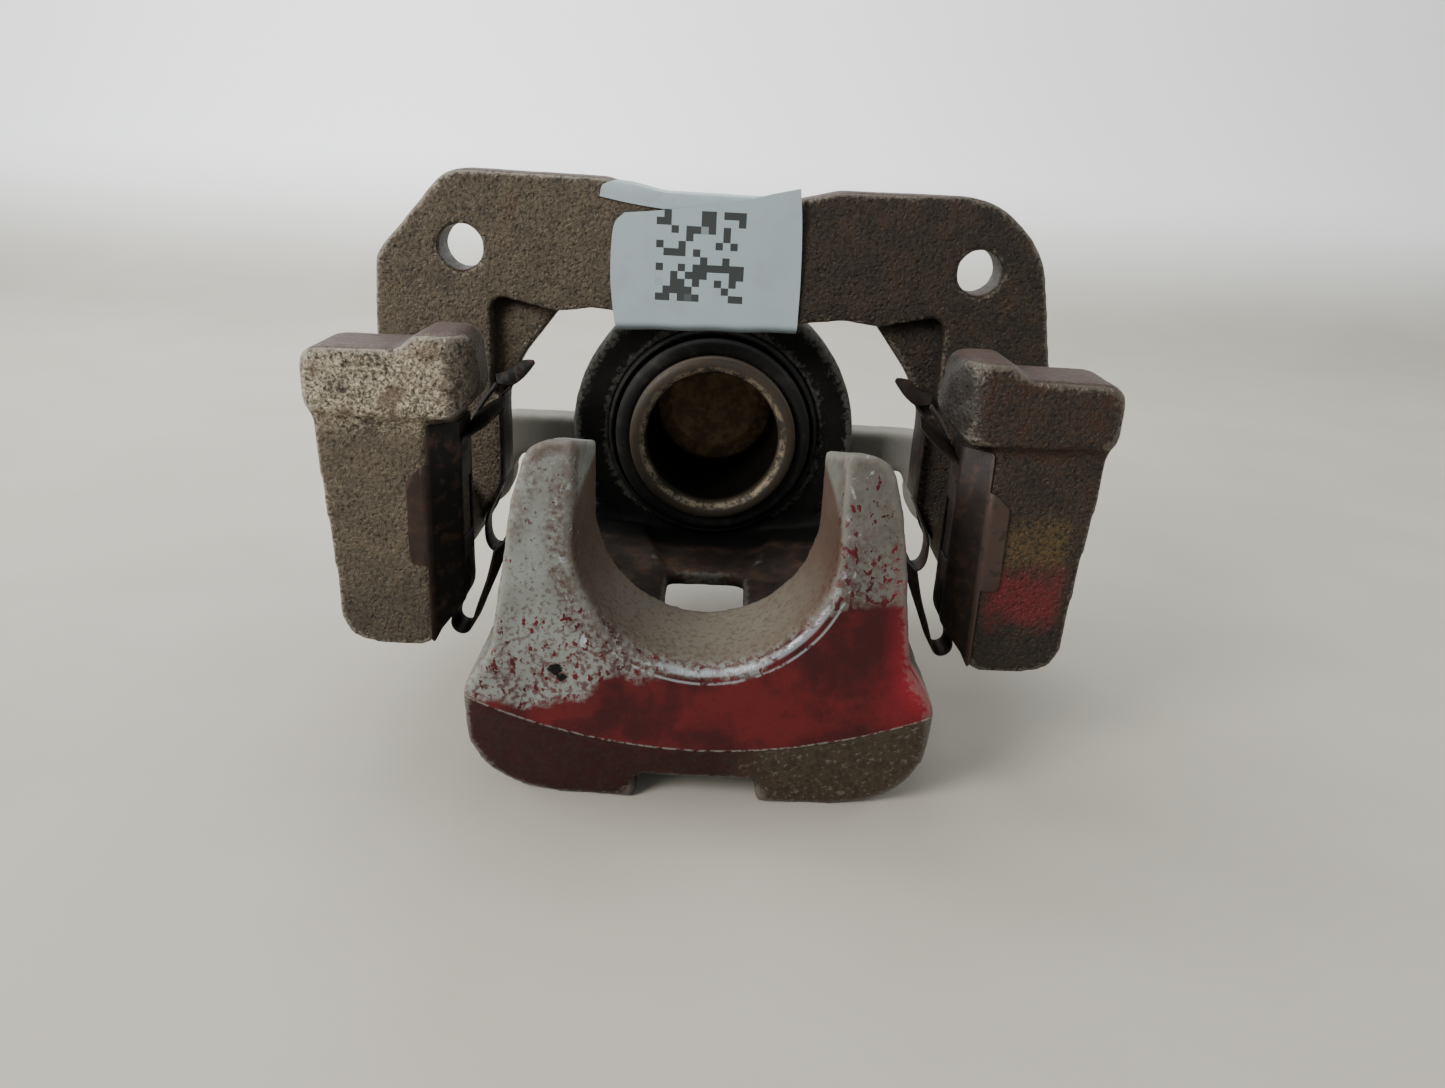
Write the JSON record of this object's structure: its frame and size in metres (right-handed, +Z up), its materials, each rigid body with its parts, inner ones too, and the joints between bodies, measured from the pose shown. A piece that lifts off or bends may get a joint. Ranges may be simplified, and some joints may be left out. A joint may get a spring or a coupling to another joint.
{
  "type": "floating disc brake caliper with carrier",
  "caption": "Floating disc brake caliper: housing with U-cut fingers, hollow piston and boot, sliding on guide pins in a cast carrier with ears and spring clips; pads and hose not fitted.",
  "frame": {"origin": "on the ground under the middle of the part, with the caliper standing on the back of its bridge", "axes": "X across the pads, Y along the piston from the fingers (outboard) to the closed end (inboard), Z up towards the disc's centre and the carrier's ears"},
  "size_m": [0.162, 0.14, 0.1216],
  "materials": {
    "housing_casting": "grey paint with red overspray on cast iron",
    "carrier_casting": "sand-cast iron, oily and lightly rusted",
    "piston_steel": "ground steel with a rusted rim",
    "boot_rubber": "black rubber, dusty",
    "seal_rubber": "square-cut rubber ring",
    "ring_wire": "dark spring wire",
    "pin_steel": "greased steel",
    "bolt_steel": "zinc-plated steel, dulled",
    "clip_steel": "heat-browned spring steel sheet",
    "bleeder_steel": "plated steel",
    "cap_rubber": "black rubber",
    "label_paper": "matte coated paper with a printed block pattern"
  },
  "bodies": {
    "housing": {"caliper_housing": "housing_casting", "piston_seal": "seal_rubber", "boot_ring": "ring_wire", "dust_boot": "boot_rubber", "guide_pin_left": "pin_steel", "guide_pin_right": "pin_steel", "pin_bush": "seal_rubber", "pin_bolt_left": "bolt_steel", "pin_bolt_right": "bolt_steel"},
    "carrier": {"carrier_bracket": "carrier_casting", "pad_clip_outer_left": "clip_steel", "pad_clip_outer_right": "clip_steel", "pad_clip_inner_left": "clip_steel", "pad_clip_inner_right": "clip_steel", "pin_boot_left": "boot_rubber", "pin_boot_right": "boot_rubber", "stock_label": "label_paper"},
    "piston": {"piston": "piston_steel"},
    "bleeder": {"bleeder_screw": "bleeder_steel", "bleeder_cap": "cap_rubber"}
  },
  "joints": [
    {"name": "carrier_float", "type": "slide", "parent": "housing", "child": "carrier", "axis": [0, -1, 0], "range_m": [-0.002, 0.012], "deforming": ["pin_boot_left", "pin_boot_right"]},
    {"name": "piston_slide", "type": "slide", "parent": "housing", "child": "piston", "axis": [0, -1, 0], "range_m": [0, 0.024], "deforming": ["dust_boot"]},
    {"name": "bleeder_turn", "type": "hinge", "parent": "housing", "child": "bleeder", "pos_m": [-0.014, 0.053, 0.1], "axis": [0, 0, 1], "range_deg": [0, 360]}
  ]
}
